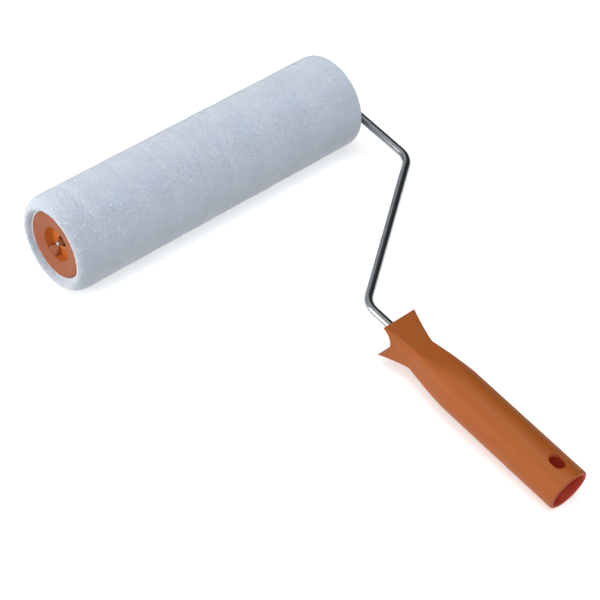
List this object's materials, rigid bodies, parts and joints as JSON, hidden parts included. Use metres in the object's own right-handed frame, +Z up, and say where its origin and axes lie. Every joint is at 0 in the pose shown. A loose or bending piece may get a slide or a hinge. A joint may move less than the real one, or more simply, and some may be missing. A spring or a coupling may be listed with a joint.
{
  "type": "paint roller",
  "caption": "Paint roller: a nap sleeve on a core tube spins on a bent steel wire frame whose tang is held in a hollow moulded handle.",
  "frame": {"origin": "middle of the footprint, on the surface the roller lies on", "axes": "+X along the roller axis towards the bend of the wire, -Y from the roller towards the butt of the handle, +Z up"},
  "size_m": [0.2562, 0.377, 0.0684],
  "materials": {
    "nap": "short dense white pile",
    "core": "extruded tube",
    "orange_plastic": "satin moulded",
    "bush_plastic": "smooth moulded, black",
    "steel_wire": "bright zinc-plated drawn wire"
  },
  "bodies": {
    "frame": {"frame_rod": "steel_wire", "handle": "orange_plastic", "stop_collar": "steel_wire", "retaining_washer": "steel_wire"},
    "cover": {"nap_sleeve": "nap", "core_tube": "core", "outboard_end_cap": "orange_plastic", "inboard_end_cap": "orange_plastic", "outboard_bush": "bush_plastic", "inboard_bush": "bush_plastic"}
  },
  "joints": [
    {"name": "cover_spin", "type": "hinge", "parent": "frame", "child": "cover", "pos_m": [-0.0036, 0.15427, 0.03422], "axis": [1, 0, 0], "continuous": true}
  ]
}
